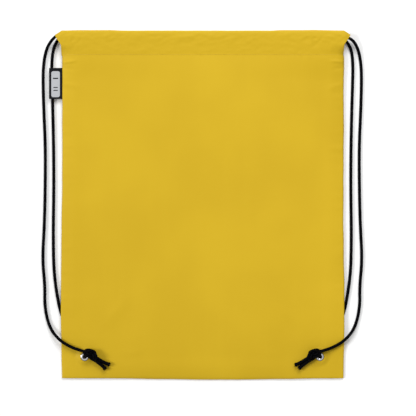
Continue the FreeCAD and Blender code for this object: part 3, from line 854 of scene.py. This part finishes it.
def panel_point(share, y, front):
    """A point of the sheet below the hem, which rises into the casing's shape near the stitches."""
    x = share * HALF_WIDTH
    z = front_height(x, y) if front else back_height(x, y)
    dx, dy = edge_waver(x, y)
    blend_in = smooth((y - 148) / 32)
    if blend_in > 0:
        hem = casing_height(x, STITCH_LINE, on_side(FRONT_CASING[0][1], front), front)
        if front:
            hem += creases(x, y) * off_the_edge(x) + hem_puckers(x, y)
        z += (hem - z) * blend_in
    return (x + dx, y + dy, z)


def casing_point(share, y, profile, front):
    """A point of the sheet over the cord."""
    x = share * casing_width(y)
    z = casing_height(x, y, profile, front)
    spread = -0.9 * smooth(-share * 3 - 2) * smooth((207 - y) / 5)
    z += band_ripple(x, y, front) * (1 - abs(share) ** 30)
    return (x + LEAN + spread, y + crest_shift(x, y), z if front else max(z, LOWEST_CASING))


def lining_point(share, y, profile, front, outer):
    """A point of the sheet on its way back inside the bag, kept clear of the casing over it."""
    depth = smooth((TOP - y) / 0.5)
    x = share * (casing_width(TOP) * (1 - depth) + INNER_WIDTH * depth)
    over = casing_height(x, y, float(np.interp(y, *outer)), front) + band_ripple(x, y, front)
    z = min(profile, over - LINING_GAP) if front else max(profile, over + LINING_GAP)
    return (x + LEAN, y + crest_shift(x, y), z)


def cloth_sheet(name, front, material):
    """One panel with its casing: up from the bottom seam, over the cord, and back to the stitches."""
    rows, outer = sheet_rows(front)
    shares = columns()
    points = []
    for part, y, profile in rows:
        if part == "panel":
            points += [panel_point(share, y, front) for share in shares]
        elif part == "casing":
            points += [casing_point(share, y, profile, front) for share in shares]
        else:
            points += [lining_point(share, y, profile, front, outer) for share in shares]
    wide = len(shares)
    faces = []
    for i in range(len(rows) - 1):
        for j in range(wide - 1):
            corner = i * wide + j
            face = (corner, corner + 1, corner + wide + 1, corner + wide)
            middle = np.mean([points[k] for k in face], axis=0)
            if eyelet_gap(middle[0], middle[1]) > CLOTH_HOLE:
                faces.append(face if front else face[::-1])
    sheet = mesh_object(name, points, faces, [material])
    return thicken(sheet, CLOTH_THICKNESS)


def thicken(obj, thickness):
    solid = obj.modifiers.new("cloth_thickness", "SOLIDIFY")
    solid.thickness = thickness * MM
    solid.offset = 0.0
    return obj


def strip(name, xs, ys, height, material, thickness, hole=0.0):
    """A flat piece of cloth over the plan grid xs by ys, at height(x, y)."""
    points = [(x, y, height(x, y)) for y in ys for x in xs]
    wide, faces = len(xs), []
    for i in range(len(ys) - 1):
        for j in range(wide - 1):
            corner = i * wide + j
            middle = ((xs[j] + xs[j + 1]) / 2, (ys[i] + ys[i + 1]) / 2)
            if eyelet_gap(*middle) > hole:
                faces.append((corner, corner + 1, corner + wide + 1, corner + wide))
    return thicken(mesh_object(name, points, faces, [material]), thickness)


STITCH_PITCH = 3.2
STITCH_LENGTH = 2.6
STITCH_RADIUS = 0.22
SEAM_STITCHES = 161.9
ALLOWANCE_THICKNESS = 0.5
SIDE_ALLOWANCE = (161.6, 163.0, 164.6, 166.2, 167.6, 168.9)
BOTTOM_ALLOWANCE = [-208.8, -207.6, -206.2, -204.6, -203.2, -202.0]


def stitch_row(name, place, start, stop, material, rise=0.3):
    """Separate stitches; place(t) gives x, y, z in mm at run t, and 1 or -1 for the side they rise to."""
    tubes = Tubes()
    steps = np.linspace(0, 1, 6)
    radii = STITCH_RADIUS * (0.55 + 0.45 * np.sin(math.pi * steps))
    t = start
    while t + STITCH_LENGTH < stop:
        line = []
        for s in steps:
            point = np.array(place(t + s * STITCH_LENGTH), float)
            point[2] += math.copysign(0.08 + rise * math.sin(math.pi * s), point[3])
            line.append(point[:3])
        tubes.add(line, radii, sides=7)
        t += STITCH_PITCH
    return tubes.build(name, material)


def make_sheets(cloth):
    """Front and back, each one sheet of its panel and its casing."""
    front = cloth_sheet("front_cloth", True, cloth)
    carry(front, "bag", "cloth", "front_panel", "front_casing")
    back = cloth_sheet("back_cloth", False, cloth)
    carry(back, "bag", "cloth", "back_panel", "back_casing")
    return front, back


def make_hem_stitches(side_name, front, thread):
    """The row of stitches that closes a casing."""

    def place(x):
        y = STITCH_LINE + 0.8
        z = casing_height(x, y, on_side(FRONT_CASING[0][1], front), front)
        z += band_ripple(x, y, front)
        return (x, y, z if front else max(z, LOWEST_CASING), 1 if front else -1)

    row = stitch_row(f"{side_name}_hem_stitches", place, -167.5, 168.0, thread)
    carry(row, "bag", "thread", f"{side_name}_hem_thread")


def make_side_seam(side, sign, cloth, thread):
    """A side's allowance with its stitches, and the reinforcement in its bottom corner."""
    xs = sorted(sign * v for v in SIDE_ALLOWANCE)
    ys = spaced(-208, 181, 3.0)
    allowance = strip(f"{side}_seam_allowance", xs, ys, middle_height, cloth, ALLOWANCE_THICKNESS)
    carry(allowance, "bag", "cloth", f"{side}_side_seam")

    def place(y):
        x = sign * SEAM_STITCHES
        return (x, y, middle_height(x, y) + 0.1, 1)

    row = stitch_row(f"{side}_seam_stitches", place, -150.0, 180.0, thread, rise=0.1)
    carry(row, "bag", "thread", f"{side}_seam_thread")
    patch = strip(
        f"{side}_corner_reinforcement",
        sorted(sign * v for v in spaced(122, 158, 1.5)),
        spaced(-198, -163, 1.5),
        middle_height,
        cloth,
        CLOTH_THICKNESS,
        hole=3.4,
    )
    carry(patch, "bag", "cloth", f"{side}_corner_patch")


def make_cloth(cloth, thread):
    """All the cloth of the bag with its stitches."""
    front, back = make_sheets(cloth)
    make_hem_stitches("front", True, thread)
    make_hem_stitches("back", False, thread)
    for side, sign in SIDES.items():
        make_side_seam(side, sign, cloth, thread)
    hem = strip(
        "bottom_seam_allowance",
        spaced(-161.5, 162, 4.0),
        BOTTOM_ALLOWANCE,
        middle_height,
        cloth,
        ALLOWANCE_THICKNESS,
    )
    carry(hem, "bag", "cloth", "bottom_seam")


# ---------------------------------------------------------------- metal and label


RING_SIDES = 64


def lathe(name, centre, profile, material):
    """A closed ring shape from (radius, height) pairs."""
    points, faces, tall = [], [], len(profile)
    for i in range(RING_SIDES):
        turn = 2 * math.pi * i / RING_SIDES
        for radius, height in profile:
            points.append(
                (centre[0] + radius * math.cos(turn), centre[1] + radius * math.sin(turn), height)
            )
        ahead = (i + 1) % RING_SIDES
        for j in range(tall):
            k = (j + 1) % tall
            faces.append((i * tall + j, ahead * tall + j, ahead * tall + k, i * tall + k))
    return mesh_object(name, points, faces, [material])


def make_eyelets(metal):
    """Each eyelet's front half with its barrel, and the washer that it is set into behind."""
    flange = [
        (2.3, 4.3), (2.05, 7.0), (2.12, 7.5), (2.5, 7.86), (3.1, 8.0), (3.8, 7.98), (4.4, 7.8), (4.8, 7.52),
        (5.05, 7.2), (5.1, 7.02), (5.0, 6.94), (4.85, 7.0), (4.5, 7.3), (4.0, 7.5), (3.4, 7.55), (3.02, 7.35),
        (2.9, 7.0), (2.9, 4.4), (3.1, 4.25), (3.4, 4.3), (3.5, 4.2), (3.4, 4.0), (3.1, 3.92), (2.7, 4.0),
    ]
    washer = [
        (2.95, 5.18), (2.95, 4.6), (3.3, 4.42), (3.9, 4.42), (4.4, 4.55), (4.68, 4.85), (4.7, 5.1),
        (4.6, 5.2), (4.4, 5.05), (3.9, 4.9), (3.4, 4.95), (3.1, 5.15),
    ]
    for side, sign in SIDES.items():
        centre = (sign * EYELET[0], EYELET[1])
        ring = lathe(f"{side}_eyelet_ring", centre, flange, metal)
        carry(ring, "bag", "eyelet_metal", f"{side}_eyelet")
        plate = lathe(f"{side}_eyelet_back", centre, washer, metal)
        carry(plate, "bag", "eyelet_metal", f"{side}_eyelet_washer")


LABEL_X, LABEL_Y = (-185.5, -169.4), (127.5, 165.0)
LABEL_TOP = 6.3
LABEL_THICKNESS = 0.42
LABEL_COLUMNS, LABEL_ROWS = 55, 126
PALE_SIZE = (10.4, 31.4, 2.4)
LONG_BAR, SHORT_BAR = (6.4, 1.5, 0.3), (5.4, 1.1, 0.3)
SNAP_REACH = 0.155


def rectangle_gap(x, y, rectangle):
    """Signed distance in plan from a rounded rectangle, and its direction.

    The rectangle is (centre x, centre y, width, height, corner radius).
    """
    cx, cy, width, height, radius = rectangle
    dx, dy = abs(x - cx) - width / 2 + radius, abs(y - cy) - height / 2 + radius
    if dx > 0 and dy > 0:
        far = math.hypot(dx, dy)
        gap, nx, ny = far - radius, dx / far, dy / far
    else:
        gap, nx, ny = (dx - radius, 1.0, 0.0) if dx > dy else (dy - radius, 0.0, 1.0)
    return gap, math.copysign(nx, x - cx), math.copysign(ny, y - cy)


def make_label(black, grey):
    """Folded woven strip with a pale panel and three plain bars; no lettering and no symbol."""
    (x0, x1), (y0, y1) = LABEL_X, LABEL_Y
    xs = list(np.linspace(x0, x1, LABEL_COLUMNS))
    ys = list(np.linspace(y0, y1, LABEL_ROWS))
    cx, cy = (x0 + x1) / 2 - 0.1, (y0 + y1) / 2 - 0.9
    pale = (cx, cy, *PALE_SIZE)
    bars = [(cx, cy + 7.0, *LONG_BAR), (cx, cy - 4.0, *SHORT_BAR), (cx, cy - 7.5, *SHORT_BAR)]

    def sag(x, y):
        """The free edge hangs a little and ripples."""
        out = (x1 - x) / (x1 - x0)
        return -0.9 * out**1.5 + 0.18 * out * wave(y / 11, out, 91.0)

    points, faces, slots = [], [], []

    def snapped(x, y):
        """Grid points next to an outline move onto it."""
        for rectangle in (pale, *bars):
            gap, nx, ny = rectangle_gap(x, y, rectangle)
            if abs(gap) < SNAP_REACH:
                return x - nx * gap, y - ny * gap
        return x, y

    def layer(height, snap):
        first = len(points)
        plan = [snapped(x, y) if snap else (x, y) for y in ys for x in xs]
        points.extend((x, y, height + sag(x, y)) for x, y in plan)
        return first

    def quad(a, b, c, d):
        faces.append((a, b, c, d))
        slots.append(0)

    wide, tall = len(xs), len(ys)

    def shade(corner, across, ahead):
        """1 on the pale panel, 0 on the border and the bars."""
        x, y, _ = np.mean([points[corner], points[across], points[ahead]], axis=0)
        barred = any(rectangle_gap(x, y, bar)[0] < 0 for bar in bars)
        return 1 if rectangle_gap(x, y, pale)[0] < 0 and not barred else 0

    top, bottom = layer(LABEL_TOP, True), layer(LABEL_TOP - LABEL_THICKNESS, False)
    for i in range(tall - 1):
        for j in range(wide - 1):
            a = i * wide + j
            corner, right, over, above = top + a, top + a + 1, top + a + wide + 1, top + a + wide
            for three in ((corner, right, over), (corner, over, above)):
                faces.append(three)
                slots.append(shade(*three))
            quad(bottom + a + wide, bottom + a + wide + 1, bottom + a + 1, bottom + a)
    for i in range(tall - 1):
        for j, turn in ((0, 1), (wide - 1, -1)):
            a, b = i * wide + j, (i + 1) * wide + j
            ring = (top + a, top + b, bottom + b, bottom + a)
            quad(*ring[::turn])
    for j in range(wide - 1):
        for i, turn in ((0, -1), (tall - 1, 1)):
            a, b = i * wide + j, i * wide + j + 1
            ring = (top + a, top + b, bottom + b, bottom + a)
            quad(*ring[::-turn])
    label = mesh_object("woven_side_label", points, faces, [black, grey], face_materials=slots)
    carry(label, "label", "label", "side_label")


# ---------------------------------------------------------------- floor and light


TABLE_HALF = 4000.0
TABLE_LEVEL = -0.02
WORLD_STRENGTH = 0.47
SUN_STRENGTH = 1.54
SUN_SPREAD = math.radians(20)
SUN_DIRECTION = (1.15, -0.08, -1.0)
SOFTBOX_PLACE = (0.28, 1.32, 1.5)
SOFTBOX_SIZE = 1.2
SOFTBOX_WATTS = 26.5


def area_light(name, place, target, size, watts):
    """A round soft light at a place in metres that points at the target."""
    data = bpy.data.lights.new(name, "AREA")
    data.shape, data.size, data.energy = "DISK", size, watts
    light = bpy.data.objects.new(name, data)
    light.location = place
    light.rotation_mode = "QUATERNION"
    light.rotation_quaternion = (Vector(target) - Vector(place)).to_track_quat("-Z", "Y")
    SCENE.collection.objects.link(light)


def make_studio(table):
    """White table, even surroundings, a sun from the left and a softbox beyond the mouth."""
    corners = [(x, y, TABLE_LEVEL) for x, y in ((-1, -1), (1, -1), (1, 1), (-1, 1))]
    points = [(x * TABLE_HALF, y * TABLE_HALF, z) for x, y, z in corners]
    floor = mesh_object("table", points, [(0, 1, 2, 3)], [table])
    world = bpy.data.worlds.new("studio")
    world.use_nodes = True
    background = world.node_tree.nodes["Background"]
    background.inputs["Color"].default_value = (1, 1, 1, 1)
    background.inputs["Strength"].default_value = WORLD_STRENGTH
    SCENE.world = world
    sun = bpy.data.lights.new("key", "SUN")
    sun.energy, sun.angle = SUN_STRENGTH, SUN_SPREAD
    key = bpy.data.objects.new("key", sun)
    key.rotation_mode = "QUATERNION"
    key.rotation_quaternion = Vector(SUN_DIRECTION).to_track_quat("-Z", "Y")
    SCENE.collection.objects.link(key)
    area_light("top_softbox", SOFTBOX_PLACE, (0, 0, 0), SOFTBOX_SIZE, SOFTBOX_WATTS)
    SCENE.view_settings.view_transform = "Standard"
    SCENE.view_settings.look = "None"


# ---------------------------------------------------------------- build

make_camera()
braid = cord_material()
for side_name in SIDES:
    outer, outer_line = make_strand(side_name, "outer", braid)
    inner, inner_line = make_strand(side_name, "inner", braid)
    make_run(side_name, braid)
    knot_piece = make_knot(side_name, (outer_line[-1], inner_line[-1]), braid)
    tail_piece = make_tails(side_name, braid)

yellow = cloth_material("yellow_cloth", CLOTH_YELLOW, CLOTH_DARK, CLOTH_LIGHT)
make_cloth(yellow, thread_material())
make_eyelets(metal_material())
make_label(
    woven_material("label_black", LABEL_BLACK, LABEL_BLACK_DARK, 0.7),
    woven_material("label_grey", LABEL_GREY, LABEL_GREY_DARK, 0.55),
)
make_studio(floor_material())
